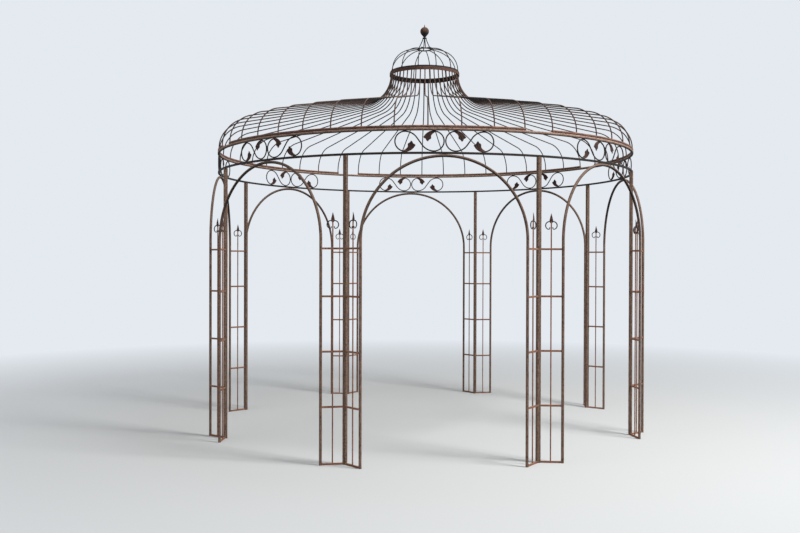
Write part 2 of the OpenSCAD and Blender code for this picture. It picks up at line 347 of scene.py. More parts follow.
def fill(tree, node, inputs):
    """Gives a node its inputs, by name or number, each as a value or as another node's output."""
    for name, value in inputs.items():
        if isinstance(value, bpy.types.NodeSocket):
            tree.links.new(value, node.inputs[name])
        else:
            node.inputs[name].default_value = value


def add_node(tree, kind, inputs=None, **settings):
    """Adds a node with those settings, and gives it its inputs."""
    node = tree.nodes.new(kind)
    for name, value in settings.items():
        setattr(node, name, value)
    fill(tree, node, inputs or {})
    return node


def new_material(name):
    """A new material, with its tree of nodes and its Principled shader."""
    material = bpy.data.materials.new(name)
    material.use_nodes = True
    return material, material.node_tree, material.node_tree.nodes["Principled BSDF"]


def math(tree, operation, first, second, clamp=False):
    """Works out one number from two, and keeps it from 0 to 1 where clamp is set."""
    node = add_node(tree, "ShaderNodeMath", {0: first, 1: second}, operation=operation, use_clamp=clamp)
    return node.outputs[0]


def blend(tree, share, first, second):
    """Mixes two colours, which are inputs 6 and 7 of the node."""
    return add_node(tree, "ShaderNodeMix", {0: share, 6: first, 7: second}, data_type="RGBA").outputs[2]


def noise(tree, place, scale, detail, roughness):
    """Soft noise from 0 to 1, which has about that many patches in a metre."""
    node = add_node(tree, "ShaderNodeTexNoise", {"Vector": place, "Scale": scale, "Detail": detail,
                                                 "Roughness": roughness})
    return node.outputs["Fac"]


def spread(tree, value, low, high):
    """Stretches the values from low to high over 0 to 1."""
    node = add_node(tree, "ShaderNodeMapRange", {"Value": value, "From Min": low, "From Max": high})
    return node.outputs["Result"]


print("a grey that looks like 128 of 255 is", round(srgb(128, 128, 128)[0], 3), "to a shader")

# %% The rust group
# the black that painted shade blends towards; the leaf tips are darkened with it too
SHADE_BLACK = srgb(20, 15, 13)
# streaks are eleven times as long as they are wide
ALONG_BAR = (1, 1, 0.09)


def rust_group():
    """Colour, roughness and height of rusted iron. Patches are about a hand wide, streaks run along
    the bar, and grain is one to three millimetres. Worn edges and upper sides are paler. Undersides,
    and places with a wear and shade value below nought, are blended towards black: painted shade, and
    on the leaves a darkening towards their tips."""
    group = bpy.data.node_groups.new("iron_rust", "ShaderNodeTree")
    inputs = [("Place", "Vector"), ("Flow", "Vector"), ("Wear and shade", "Float"), ("Upward", "Float"),
              ("Dark", "Color"), ("Brown", "Color"), ("Orange", "Color"), ("Pale", "Color"),
              ("Rust", "Float")]
    outputs = [("Color", "Color"), ("Roughness", "Float"), ("Height", "Float")]
    for direction, sockets in [("INPUT", inputs), ("OUTPUT", outputs)]:
        for name, kind in sockets:
            group.interface.new_socket(name, in_out=direction, socket_type=f"NodeSocket{kind}")
    given = group.nodes.new("NodeGroupInput").outputs
    result = group.nodes.new("NodeGroupOutput")
    patches = noise(group, given["Place"], scale=7.0, detail=5.0, roughness=0.62)
    stretched = add_node(group, "ShaderNodeMapping", {"Vector": given["Flow"], "Scale": ALONG_BAR})
    streaks = noise(group, stretched.outputs[0], scale=170.0, detail=4.0, roughness=0.6)
    grain = noise(group, given["Place"], scale=480.0, detail=3.0, roughness=0.6)
    crust = noise(group, given["Place"], scale=90.0, detail=4.0, roughness=0.65)
    cells = add_node(group, "ShaderNodeTexVoronoi", {"Vector": given["Place"], "Scale": 260.0})
    pits = cells.outputs["Distance"]
    skin = math(group, "ADD", math(group, "MULTIPLY", streaks, 0.5), math(group, "MULTIPLY", crust, 0.5))
    base = blend(group, spread(group, skin, 0.4, 0.6), given["Dark"], given["Brown"])
    amount = math(group, "ADD", patches, math(group, "MULTIPLY", crust, 0.45))
    amount = math(group, "ADD", amount, given["Rust"])
    bloom = spread(group, amount, 0.98, 1.22)
    bloom = math(group, "MULTIPLY", bloom, spread(group, grain, 0.3, 0.6), clamp=True)
    rusted = blend(group, bloom, base, given["Orange"])
    lifted = math(group, "MULTIPLY", spread(group, given["Upward"], 0.1, 1.0), 0.22)
    rubbed = math(group, "MULTIPLY", given["Wear and shade"], spread(group, crust, 0.42, 0.62), clamp=True)
    worn = math(group, "ADD", lifted, math(group, "MULTIPLY", rubbed, 0.4), clamp=True)
    # painted shade: faces that point down are blended towards black
    underside_shade = math(group, "MULTIPLY", spread(group, given["Upward"], 0.0, -0.8), 0.65)
    # painted shade on lower and inner sides, where the wear and shade value is below nought
    painted_shade = math(group, "SUBTRACT", underside_shade, math(group, "MULTIPLY", given["Wear and shade"], 0.8), clamp=True)
    shaded_colour = blend(group, painted_shade, blend(group, worn, rusted, given["Pale"]), SHADE_BLACK)
    rough = math(group, "ADD", math(group, "MULTIPLY", grain, 0.3), 0.66)
    rough = math(group, "SUBTRACT", rough, math(group, "MULTIPLY", rubbed, 0.18), clamp=True)
    height = math(group, "ADD", math(group, "MULTIPLY", grain, 0.4), math(group, "MULTIPLY", crust, 0.8))
    height = math(group, "ADD", height, math(group, "MULTIPLY", pits, 0.35))
    fill(group, result, {"Color": shaded_colour, "Roughness": rough, "Height": height})
    return group


RUST = rust_group()
print("rust group:", len(RUST.nodes), "nodes")

# %% [markdown]
# Finishes
#
# The colours were chosen against the real thing in sun: posts and arches are a dusty brown,
# rungs more orange, the upper ring paler than the eave bars on it, the roof rods red brown on top,
# with painted shade blackening their lower side, the pressed leaves and the collar a dark red brown,
# and the scrolls, the curls, the dome and the lower ring nearly black. Each is a material of its
# own, with the same group and other colours, and the shader itself stays in the material.

# %% The iron finishes
GRAIN_HEIGHT = 0.0006


def iron(name, dark, brown, orange, pale, rust):
    """A rusted iron finish. Colours are given as they look on a screen. Rust is how much of the
    surface the orange covers, about nought."""
    material, tree, shader = new_material(name)
    place = add_node(tree, "ShaderNodeTexCoord").outputs["Object"]
    flow = add_node(tree, "ShaderNodeAttribute", attribute_name="flow").outputs["Vector"]
    wear_and_shade = add_node(tree, "ShaderNodeAttribute", attribute_name="wear_and_shade").outputs["Fac"]
    normal = add_node(tree, "ShaderNodeNewGeometry").outputs["Normal"]
    upward = add_node(tree, "ShaderNodeSeparateXYZ", {0: normal}).outputs["Z"]
    given = {"Place": place, "Flow": flow, "Wear and shade": wear_and_shade, "Upward": upward, "Dark": srgb(*dark),
             "Brown": srgb(*brown), "Orange": srgb(*orange), "Pale": srgb(*pale), "Rust": rust}
    coat = add_node(tree, "ShaderNodeGroup", given, node_tree=RUST).outputs
    relief = {"Height": coat["Height"], "Distance": GRAIN_HEIGHT, "Strength": 0.9}
    bump = add_node(tree, "ShaderNodeBump", relief)
    fill(tree, shader, {"Base Color": coat["Color"], "Roughness": coat["Roughness"],
                        "Normal": bump.outputs["Normal"], "Metallic": 0.15, "Specular IOR Level": 0.35})
    return material


PALE, DULL = (164, 146, 132), (96, 82, 74)
POST_IRON = iron("post_iron", (76, 57, 47), (128, 102, 86), (150, 102, 72), PALE, 0.0)
ARCH_IRON = iron("arch_iron", (76, 57, 47), (136, 108, 92), (152, 106, 78), PALE, -0.02)
RUNG_IRON = iron("rung_iron", (98, 62, 45), (162, 112, 88), (188, 122, 82), PALE, 0.14)
RING_IRON = iron("ring_iron", (108, 80, 67), (184, 152, 134), (184, 122, 90), PALE, 0.05)
EAVE_IRON = iron("eave_iron", (78, 49, 39), (158, 114, 94), (174, 108, 78), PALE, 0.05)
COLLAR_IRON = iron("collar_iron", (46, 30, 25), (106, 72, 59), (160, 100, 75), PALE, 0.02)
ROD_IRON = iron("rod_iron", (38, 28, 25), (98, 71, 60), (148, 95, 70), PALE, 0.0)
SCROLL_IRON = iron("scroll_iron", (22, 18, 17), (44, 34, 30), (98, 62, 46), DULL, -0.08)
LEAF_IRON = iron("leaf_iron", (36, 22, 19), (88, 54, 45), (130, 76, 55), PALE, 0.06)
BALL_IRON = iron("ball_iron", (46, 30, 23), (98, 67, 47), (154, 100, 62), PALE, 0.05)
print("finishes:", [m.name for m in bpy.data.materials if m.name.endswith("_iron")])

# %% [markdown]
# Arches
#
# Each arch is one tube, bent to a half circle on two straight legs. Bent tube keeps its round
# section, so the piece is a single bar. Its walls are not ruler straight: rust scale swells it by
# a few tenths of a millimetre, which a slow wave in the scale gives. Shade is painted on the lower
# side of the bend: its wear and shade value falls towards -1 there and is nought on the legs.

# %% The eight arches
# painted shade on the bend's lower side: how far its wear and shade value falls below nought at the top
ARCH_LOWER_SHADE = 0.9


def arch(k):
    """The arch of bay k."""
    out, sideways = directions((k - 1) * BAY)
    flat = chain(
        straight([-ARCH_HALF, 0], [-ARCH_HALF, SPRING_Z]),
        arc([0, SPRING_Z], ARCH_HALF, 180, 0, 0.02),
        straight([ARCH_HALF, SPRING_Z], [ARCH_HALF, 0]),
    )
    line, side = on_wall(flat, out * RING_R, sideways)
    tube, _ = round_outline(ARCH_D, 20)
    raised = np.clip((flat[:, 1:] - SPRING_Z) / ARCH_HALF, 0, 1) ** 0.5
    # painted shade on the lower side of the bend, strongest at the top
    wear_and_shade = ARCH_LOWER_SHADE * raised * (tube[:, 0] / ARCH_D - 0.5)
    iron_work = Ironwork()
    iron_work.bar(line, side, (tube, wear_and_shade), scale=swelling(line, 0.012))
    return iron_work.make(f"arch_tube_{k}", "arch_iron", [ARCH_IRON], f"arch_{k}")


def every_bay(make):
    """Makes the piece of each bay, and prints how many there are."""
    made = [make(k) for k in range(1, BAYS + 1)]
    print(len(made), "of", made[0].name, "with", len(made[0].data.polygons), "faces each")


every_bay(arch)

# %% [markdown]
# Piers
#
# A pier is a square tube post and two flat sides that run from it to the nearest arch legs. A side
# has five rungs and a round rod up its middle, which ends in a pressed spear leaf between two curls
# that come down beside it and roll in. The rungs are welded, and the beads of those welds show as
# lumps at every joint.

# %% Sizes of the piers
POST_W, POST_CORNER = 0.030, 0.004
RUNG_H, RUNG_T, RUNG_CORNER, STEM_D = 0.014, 0.012, 0.0015, 0.010
POST_TOP = LOWER_Z - LOWER_BAR / 2 - SEAT
TOP_RUNG_Z = 1.568
RUNG_HEIGHTS = [RUNG_H / 2, 0.421, 0.822, 1.222, TOP_RUNG_Z]
CURL_D, CURL_R, CURL_END_R = 0.008, 0.029, 0.009
CURL_Z, CURL_OUT = TOP_RUNG_Z + 0.173, 0.013
# angles at which a curl leaves the rod, tightens and ends
CURL_START, CURL_TURN, CURL_FINISH = np.degrees(np.arccos(-CURL_OUT / CURL_R)), -70, -200
SPEAR_FOOT_Z, SPEAR_TOP_Z = TOP_RUNG_Z + 0.188, 1.831
SPEAR_HALF, SPEAR_T = 0.014, 0.004
# weld beads, as radius and reach: at a rung's ends, on the rod, and on the rolled end of a curl
RUNG_BEAD, ROD_BEAD, CURL_BEAD = (0.008, 0.008), (0.0075, 0.010), (0.0042, 0.0042)
# lowest place for a weld bead, which would reach into the ground at the lowest rung
BEAD_Z = 0.010
# how deep the spear leaf is hollowed at its edges
SPEAR_HOLLOW = 0.0035
# the nearest leg of an arch, as seen from a post: how far sideways and outwards
leg_reach = np.hypot(RING_R, ARCH_HALF)
leg_turn = BAY / 2 - np.arctan(ARCH_HALF / RING_R)
wing = np.array([leg_reach * np.sin(leg_turn), leg_reach * np.cos(leg_turn) - RING_R])
WING_TURN = np.arctan2(wing[1], wing[0])
WING_START = POST_W / 2
WING_END = np.hypot(*wing) - ARCH_D / 2
STEM_X = (WING_START + WING_END) / 2
print("a side is", round(WING_END - WING_START, 4), "m wide")

# %% The spear leaf
def spear(iron_work, origin, along, finish):
    """A pressed leaf. Stations go from foot to tip, places once round the section: across the front
    from edge to edge and back across the rear. The half width follows five shares of the leaf's
    width, the thickness falls from the midrib to the edges, and the edges bend back by the square
    of their distance from the midrib."""
    share = np.linspace(0, 1, 26)
    half = SPEAR_HALF * np.interp(share, [0, 0.08, 0.3, 0.65, 1], [0.25, 0.7, 1, 0.55, 0.03])
    places = np.linspace(-1, 1, 9)
    height = SPEAR_FOOT_Z + share * (SPEAR_TOP_Z - SPEAR_FOOT_Z)
    ridge = SPEAR_T / 2 * (0.25 + 0.75 * (1 - np.abs(places)) ** 1.5)
    hollow = -SPEAR_HOLLOW * np.sin(np.pi * share)[:, None] * places**2
    normal = np.cross(along, UP)
    flat = origin + half[:, None, None] * places[:, None] * along + height[:, None, None] * UP
    front = flat + (hollow + ridge)[..., None] * normal
    rear = flat + (hollow - ridge)[..., None] * normal
    grid = np.concatenate([front, rear[:, ::-1]], 1)
    wear_and_shade = np.abs(np.concatenate([places, places[::-1]])) ** 6
    iron_work.grid(grid, grid + elsewhere(), wear_and_shade, finish)


print("a spear leaf is", round(SPEAR_TOP_Z - SPEAR_FOOT_Z, 3), "m tall")

# %% The eight piers
POST, RUNG, SPEAR, CURL = range(4)
PIER_FINISHES = [POST_IRON, RUNG_IRON, LEAF_IRON, SCROLL_IRON]


def curl(iron_work, stem_foot, along, mirror):
    """A curl beside the rod: it falls in a wide arc, rolls in on a small one and thins to its end."""
    fall = arc([CURL_OUT, 0], CURL_R, CURL_START, CURL_TURN, 0.005)
    roll_c = at([CURL_OUT, 0], CURL_R - CURL_END_R, CURL_TURN)
    roll = arc(roll_c, CURL_END_R, CURL_TURN, CURL_FINISH, 0.003)
    flat = chain(fall, roll) * [mirror, 1] + [0, CURL_Z]
    line, side = on_wall(flat, stem_foot, along)
    taper = np.interp(lengths(line), [0, 0.06, lengths(line)[-1]], [1, 1, 0.75])
    iron_work.bar(line, side, round_outline(CURL_D, 10), CURL, taper)
    iron_work.bead(line[-1], side, UP, *CURL_BEAD, CURL)


def pier_side(iron_work, foot, along):
    """The flat side that runs from the foot of a post along that direction."""
    normal = np.cross(along, UP)
    rung_shape, stem_shape = square_outline(RUNG_T, RUNG_H, RUNG_CORNER), round_outline(STEM_D, 12)
    for z in RUNG_HEIGHTS:
        level = foot + UP * z
        ends = [level + along * WING_START, level + along * WING_END]
        iron_work.bar(straight(*ends, 0.03), UP, rung_shape, RUNG)
        for end in ends:
            iron_work.bead(end + UP * max(BEAD_Z - z, 0), normal, UP, *RUNG_BEAD, RUNG)
        if z > RUNG_H:
            iron_work.bead(level + along * STEM_X, UP, normal, *ROD_BEAD, RUNG)
    stem_foot = foot + along * STEM_X
    line = straight(stem_foot + UP * RUNG_H / 2, stem_foot + UP * (CURL_Z + CURL_R))
    iron_work.bar(line, normal, stem_shape, RUNG, swelling(line, 0.02))
    for mirror in (1, -1):
        curl(iron_work, stem_foot, along, mirror)
    spear(iron_work, stem_foot, along, SPEAR)


def pier(k):
    """The pier between bay k and the next one."""
    out, sideways = directions((k - 0.5) * BAY)
    foot = out * RING_R
    iron_work = Ironwork()
    post = straight(foot, foot + UP * POST_TOP)
    tube = square_outline(POST_W, POST_W, POST_CORNER)
    iron_work.bar(post, sideways, tube, POST, swelling(post, 0.006))
    for mirror in (1, -1):
        pier_side(iron_work, foot, mirror * np.cos(WING_TURN) * sideways + np.sin(WING_TURN) * out)
    return iron_work.make(f"pier_iron_{k}", "pier_iron", PIER_FINISHES, f"pier_{k}")


every_bay(pier)

# %% [markdown]
# Rings
#
# The lower ring is a square bar and the upper one a square tube, both rolled to a circle, and the
# collar is a flat band on edge. Each is a bar whose stations close on themselves. The closing
# place is put over a pier at the back. Shade is painted dark on the inner side of the collar and on
# the lower side of the upper ring, and a lumpy weld seam closes the slit between the collar and the
# ring that the dome stands on.

# %% The rings
# where a ring closes: over the pier between bays 5 and 6
CLOSING_TURN = np.degrees(4.5 * BAY) - 90


def level_ring(radius, z, step):
    """A level circle about the axis. The first number of an outline that it carries points inwards."""
    return on_level(arc([0, 0], radius, CLOSING_TURN, CLOSING_TURN + 360, step)[:-1], z)


def ring_bar(name, material, node, radius, z, outline, step=0.03):
    """A ring of one bar, in place of that node."""
    iron_work = Ironwork()
    iron_work.bar(level_ring(radius, z, step), UP, outline, ring=True)
    return iron_work.make(name, "ring_iron", [material], node)


BAR_CORNER = 0.002
ring_bar("lower_ring_bar", SCROLL_IRON, "lower_ring", RING_R, LOWER_Z,
         square_outline(LOWER_BAR, LOWER_BAR, BAR_CORNER))
# the upper ring carries painted shade on its lower side
ring_bar("upper_ring_tube", RING_IRON, "upper_ring", RING_R, UPPER_Z,
         shaded_below(square_outline(UPPER_BAR, UPPER_BAR, TUBE_CORNER)))
ring_bar("dome_ring_bar", SCROLL_IRON, "dome_ring", COLLAR_R, DOME_RING_Z,
         square_outline(DOME_BAR, DOME_BAR, BAR_CORNER), step=0.015)
print("rings at", round(LOWER_Z, 3), round(UPPER_Z, 3), round(DOME_RING_Z, 3))

# %% The collar band and its weld seam
COLLAR_T, COLLAR_CORNER, SEAM_LAP = 0.006, 0.001, 0.001
BAND, SEAM = range(2)
band_top, ring_foot = COLLAR_Z + COLLAR_H / 2, DOME_RING_Z - DOME_BAR / 2
seam_d = ring_foot - band_top + 2 * SEAM_LAP
seam_r = (COLLAR_OUT - COLLAR_T / 2 + COLLAR_R + DOME_BAR / 2) / 2
seam = level_ring(seam_r, (band_top + ring_foot) / 2, 0.006)
band_shape, band_wear_and_inner_shade = square_outline(COLLAR_T, COLLAR_H, COLLAR_CORNER)
# painted shade: the band's inner side turns dark
band_wear_and_inner_shade = np.where(band_shape[:, 0] > 0, -1.0, band_wear_and_inner_shade)
band = level_ring(COLLAR_OUT - COLLAR_T / 2, COLLAR_Z, 0.015)
collar = Ironwork()
collar.bar(band, UP, (band_shape, band_wear_and_inner_shade), BAND, ring=True)
collar.bar(seam, UP, round_outline(seam_d, 8), SEAM, rng.uniform(0.9, 1.1, len(seam)), ring=True)
collar.make("collar_band_iron", "ring_iron", [COLLAR_IRON, SCROLL_IRON], "collar_band")
print("collar at", round(COLLAR_Z, 3), "with a seam", round(seam_d, 4), "m thick")

# %% [markdown]
# Frieze
#
# Over each arch two S scrolls stand mirrored between the rings. A scroll is one round bar: a circle,
# a wider bend, a slanting stretch, and the same the other way. Each end runs on as the stalk of a
# pressed leaf with two tips and a lobe, three fingers in all. The leaf could be cut flat from sheet,
# but the real ones are domed along each finger, so it is a surface over two numbers: how far round
# the scroll's circle, and how far in from its edge.

# %% Sizes of the scrolls
FRIEZE_MID = (LOWER_Z + LOWER_BAR / 2 + UPPER_Z - UPPER_BAR / 2) / 2
SCROLL_HALF = (UPPER_Z - UPPER_BAR / 2 - LOWER_Z - LOWER_BAR / 2) / 2 - SEAT
SCROLL_LEN, SCROLL_D, SCROLL_GAP, SCROLL_END = 0.361, 0.010, 0.002, 275
LEAF_W, LEAF_TURN, LEAF_T, LEAF_INSET = 0.046, 68, 0.003, 0.001
SCROLL_R = SCROLL_HALF - SCROLL_D / 2
SCROLL_X = SCROLL_LEN / 2 - SCROLL_HALF
LEAF_R = SCROLL_HALF - LEAF_INSET
# the wider bend is as large as leads into a straight stretch of that slope through the middle
SLOPE = np.radians(54)
WAIST_R = (SCROLL_X * np.sin(SLOPE) - SCROLL_R * np.cos(SLOPE)) / (1 - np.cos(SLOPE))
WAIST_C = np.array([-SCROLL_X, SCROLL_R - WAIST_R])
WAIST_TURN = 90 - np.degrees(SLOPE)
# how far a scroll, which is flat, is set in from the curve of the rings
SCROLL_SAG = SCROLL_LEN**2 / 16 / RING_R
# a leaf's foot and tip, as shares of its turn, its domes' height and the rise of its tips
LEAF_FOOT, LEAF_TIP, LEAF_DOME, LEAF_RISE = -0.18, 1.37, 0.0035, 0.006
# a stalk's own circle, and the angles between which the stalk follows it
STALK_R, STALK_D, STALK_START, STALK_END = 0.052, 0.007, 262, 350
# weld beads between scroll and ring, as radius and reach
TOUCH_BEAD = (0.005, 0.012)
print("the wider bend has a radius of", round(WAIST_R, 3), "m")

# %% A frieze leaf
def leaf(iron_work, place, mirror, finish):
    """Stations go round the scroll's circle from the foot to the upper tip. At each, the leaf runs in
    from its outer to its inner edge, and both edges are given as depths at chosen stations, as are
    the two grooves between the three fingers. A point's height above the scroll's plane is a sine
    across each finger, which is nought in the grooves, plus a slow rise towards the tips. Place
    turns flat points and heights into space. On a mirrored scroll, where mirror is -1, the places
    run the other way round, so that the faces still point outwards. The leaf is darker towards its
    tips, so its wear and shade value falls towards them."""
    corners = [0.28, 0.6, 0.84, 1.04, 1.085, 1.1, 1.14, LEAF_TIP]
    share = np.unique(np.concatenate([np.linspace(LEAF_FOOT, LEAF_TIP, 44), corners]))
    outer = np.interp(share, [0, 0.28, 0.6, 0.84, 1.04, 1.085, 1.1, 1.33, LEAF_TIP],
                      [0, -0.05, -0.09, -0.12, -0.17, 0.03, 0.26, 0.5, 0.58])
    inner = np.interp(share, [LEAF_FOOT, 0, 0.2, 0.42, 0.6, 0.78, 1, 1.14, 1.32, LEAF_TIP],
                      [0.12, 0.34, 0.5, 0.68, 0.94, 1.01, 0.94, 0.8, 0.73, 0.64])
    first = np.maximum(np.interp(share, [LEAF_FOOT, 0, 1.1], [0.04, 0.12, 0.26]), outer)
    second = np.minimum(np.interp(share, [LEAF_FOOT, 0, 0.42, 1.14], [0.08, 0.23, 0.46, 0.8]), inner)
    places = np.linspace(0, 1, 13)
    depth = outer[:, None] + (inner - outer)[:, None] * places
    finger = np.zeros_like(depth)
    for low, high in [(outer, first), (first, second), (second, inner)]:
        finger += np.clip((depth - low[:, None]) / np.maximum(high - low, 1e-4)[:, None], 0, 1)
    angle = np.radians(270 + LEAF_TURN * share)[:, None]
    radius = LEAF_R - LEAF_W * depth
    flat = np.stack([radius * np.cos(angle) - SCROLL_X, radius * np.sin(angle)], -1)
    dome = LEAF_DOME * np.interp(share, [0, 0.35, LEAF_TIP], [0, 1, 0.7])[:, None]
    lift = dome * np.abs(np.sin(np.pi * finger)) + LEAF_RISE * (share[:, None] / LEAF_TIP) ** 2
    edge = np.abs(2 * places - 1)
    thick = LEAF_T / 2 * (1 - 0.5 * edge**4)
    grid = np.concatenate([place(flat, lift - thick), place(flat, lift + thick)[:, ::-1]], 1)
    grid = grid[:, ::mirror]
    # darker towards the tips, through the same black as the painted shade
    black = 0.7 * np.clip(share, 0, 1)[:, None] ** 2
    wear_and_shade = np.concatenate([edge, edge[::-1]]) ** 6 - black
    iron_work.grid(grid, grid + elsewhere(), wear_and_shade, finish)


print("a leaf turns by", round(LEAF_TURN * (LEAF_TIP - LEAF_FOOT)), "degrees")

# %% The eight pairs of scrolls
SCROLL, LEAF = range(2)


def scroll(iron_work, angle, mirror):
    """A scroll with its two leaves, at that angle round the pavilion. The second half of the bar is
    the first one turned upside down, and so are its stalk and leaf. A stalk is forged thick near
    its root and runs out thin."""
    out, sideways = directions(angle)
    along = mirror * sideways
    origin = out * (RING_R - SCROLL_SAG) + UP * FRIEZE_MID
    circle = arc([-SCROLL_X, 0], SCROLL_R, SCROLL_END, 90, 0.008)
    waist = arc(WAIST_C, WAIST_R, 90, WAIST_TURN, 0.008)
    half = chain(circle, waist)
    flat = chain(half, straight(half[-1], -half[-1], 0.02), -half[::-1])
    line, side = on_wall(flat, origin, along)
    iron_work.bar(line, side, round_outline(SCROLL_D, 12), SCROLL, swelling(line, 0.02))
    for turn in (1, -1):
        stalk = arc([-SCROLL_X, STALK_R - SCROLL_R], STALK_R, STALK_START, STALK_END, 0.005) * turn
        line, side = on_wall(stalk, origin, along)
        forged = np.interp(np.linspace(0, 1, len(line)), [0, 0.15, 0.35, 1], [1.2, 1.8, 1.5, 0.35])
        iron_work.bar(line, side, round_outline(STALK_D, 10), LEAF, forged)

        def place(points, lift):
            """Flat points, and heights above the scroll's plane, turned into space."""
            in_plane = points[..., :1] * along + points[..., 1:] * UP
            return origin + turn * in_plane + lift[..., None] * out

        leaf(iron_work, place, mirror, LEAF)


def frieze(k):
    """The two scrolls of bay k, with the welds that hold them to the rings."""
    iron_work = Ironwork()
    half_turn = (SCROLL_LEN + SCROLL_GAP) / 2 / RING_R
    for mirror in (1, -1):
        angle = (k - 1) * BAY - mirror * half_turn
        scroll(iron_work, angle, mirror)
        out, sideways = directions(angle)
        for x, z in [(-SCROLL_X, 1), (SCROLL_X, 1), (-SCROLL_X, -1), (SCROLL_X, -1)]:
            touch = out * (RING_R - SCROLL_SAG) + sideways * x + UP * (FRIEZE_MID + z * SCROLL_HALF)
            iron_work.bead(touch, sideways, UP, *TOUCH_BEAD, SCROLL)
    return iron_work.make(f"frieze_scrolls_{k}", "scroll_iron", [SCROLL_IRON, LEAF_IRON], f"frieze_{k}")


every_bay(frieze)

# %% [markdown]
# Roof
#
# Six rods a bay stand on a curved bar that lies on the upper ring. They turn in at the shoulder,
# run up a shallow slope, and sweep up through the neck to the collar. All are bent alike, so one
# line in radius and height serves all 48. The roof came as four pieces of two bays: two neighbouring
# bars meet end to end, and at its other end a bar stops flush with the last rod. Thin rods never lie
# quite true, so each is bowed sideways by a millimetre or two in the middle, where nothing holds it.
# Shade is painted on a rod's lower side: its wear and shade value is nought on top and falls well below
# that underneath.

# %% The line of a roof rod
RODS, ROD_D, EAVE_BAR, ROD_FOOT = 6, 0.010, 0.018, 0.006
SHOULDER_R, ROOF_SLOPE, NECK_R, ROD_RISE = 0.232, 10.9, 0.290, 0.017
EAVE_Z = UPPER_Z + UPPER_BAR / 2 + SEAT
shoulder_c = np.array([RING_R - SHOULDER_R, EAVE_Z + EAVE_BAR + ROD_FOOT])
neck_c = np.array([COLLAR_R + NECK_R, COLLAR_Z])
foot_turn = np.degrees(np.arcsin((ROD_FOOT + EAVE_BAR / 2) / SHOULDER_R))
rise_turn = np.degrees(np.arcsin(ROD_RISE / NECK_R))
rod_flat = chain(
    arc(shoulder_c, SHOULDER_R, -foot_turn, 90 - ROOF_SLOPE, 0.016),
    straight(at(shoulder_c, SHOULDER_R, 90 - ROOF_SLOPE), at(neck_c, NECK_R, 270 - ROOF_SLOPE), 0.08),
    arc(neck_c, NECK_R, 270 - ROOF_SLOPE, 180 - rise_turn, 0.016),
)
print("a rod is", round(lengths(rod_flat)[-1], 3), "m long, with", len(rod_flat), "stations")

# %% The eight roof panels
ROD, EAVE = range(2)
# how far a rod is bowed at most, and the painted shade on its lower side
ROD_BOW, ROD_LOWER_SHADE = 0.0025, -1.3
# weld beads on the eave bar and at the collar, as radius and reach
EAVE_BEAD, NECK_BEAD = (0.0045, 0.008), (0.0045, 0.009)


def roof_panel(k):
    """The six rods of bay k and their eave bar."""
    iron_work = Ironwork()
    step = BAY / RODS
    turns = (k - 1) * BAY + (np.arange(RODS) - (RODS - 1) / 2) * step
    flush, joint = (BAY - step + ROD_D / RING_R) / 2, (BAY - SEAT / RING_R) / 2
    before, after = (joint, flush) if k % 2 else (flush, joint)
    start, end = np.degrees([(k - 1) * BAY - before, (k - 1) * BAY + after]) - 90
    eave_line = on_level(arc([0, 0], RING_R, start, end, 0.03), EAVE_Z + EAVE_BAR / 2)
    # the eave bar carries painted shade on its lower side
    eave_shape = shaded_below(square_outline(EAVE_BAR, EAVE_BAR, TUBE_CORNER))
    iron_work.bar(eave_line, UP, eave_shape, EAVE)
    free = np.sin(np.pi * lengths(rod_flat) / lengths(rod_flat)[-1])[:, None]
    rod_shape, _ = round_outline(ROD_D, 12)
    # painted shade: nought over the upper third of a rod's height, and at its lowest over the lower
    # quarter
    rod_lower_shade = np.clip(3 * rod_shape[:, 0] / ROD_D - 0.5, ROD_LOWER_SHADE, 0)
    for turn in turns:
        line, side = upright(rod_flat, turn)
        line = line + free * side * rng.uniform(-ROD_BOW, ROD_BOW)
        iron_work.bar(line, side, (rod_shape, rod_lower_shade), ROD, swelling(line, 0.02))
        out, sideways = directions(turn)
        iron_work.bead(out * RING_R + UP * (EAVE_Z + EAVE_BAR), sideways, out, *EAVE_BEAD, EAVE)
        iron_work.bead(out * (COLLAR_R + ROD_D / 2) + UP * COLLAR_Z, UP, out, *NECK_BEAD, ROD)
    return iron_work.make(f"roof_rods_{k}", "roof_iron", [ROD_IRON, EAVE_IRON], f"roof_panel_{k}")


every_bay(roof_panel)

# %% [markdown]
# Dome and finial
#
# The dome's ribs are bent in two arcs, steep at the foot and flatter at the top, and end in a small
# ring. On it stand the four flared rods of the stem, which meet in knobs under the ball. The ball
# with its cone and point is a turned shape: one outline, carried round the axis. Shade is painted
# on the ball's lower half, which turns black towards its foot.

# %% The line of a dome rib
DOME_RIBS, RIB_D, DOME_H, RIB_LOW_R = 12, 0.008, 0.206, 0.190
CROWN_R, CROWN_BAR, CROWN_CORNER = 0.057, 0.010, 0.0015
# weld beads at a rib's foot and at its top, as radius and reach
FOOT_BEAD, CROWN_BEAD = (0.0045, 0.007), (0.005, 0.006)
dome_base = DOME_RING_Z + DOME_BAR / 2 + SEAT
crown_z = dome_base + DOME_H
low_x = COLLAR_R - CROWN_R - RIB_LOW_R
RIB_TOP_R = (low_x**2 + DOME_H**2 - RIB_LOW_R**2) / 2 / (DOME_H - RIB_LOW_R)
low_c, top_c = [CROWN_R + low_x, dome_base], [CROWN_R, crown_z - RIB_TOP_R]
rib_turn = np.degrees(np.arctan2(RIB_TOP_R - DOME_H, low_x))
rib_flat = chain(arc(low_c, RIB_LOW_R, 0, rib_turn), arc(top_c, RIB_TOP_R, rib_turn, 90))
print("a rib's flatter arc has a radius of", round(RIB_TOP_R, 3), "m")

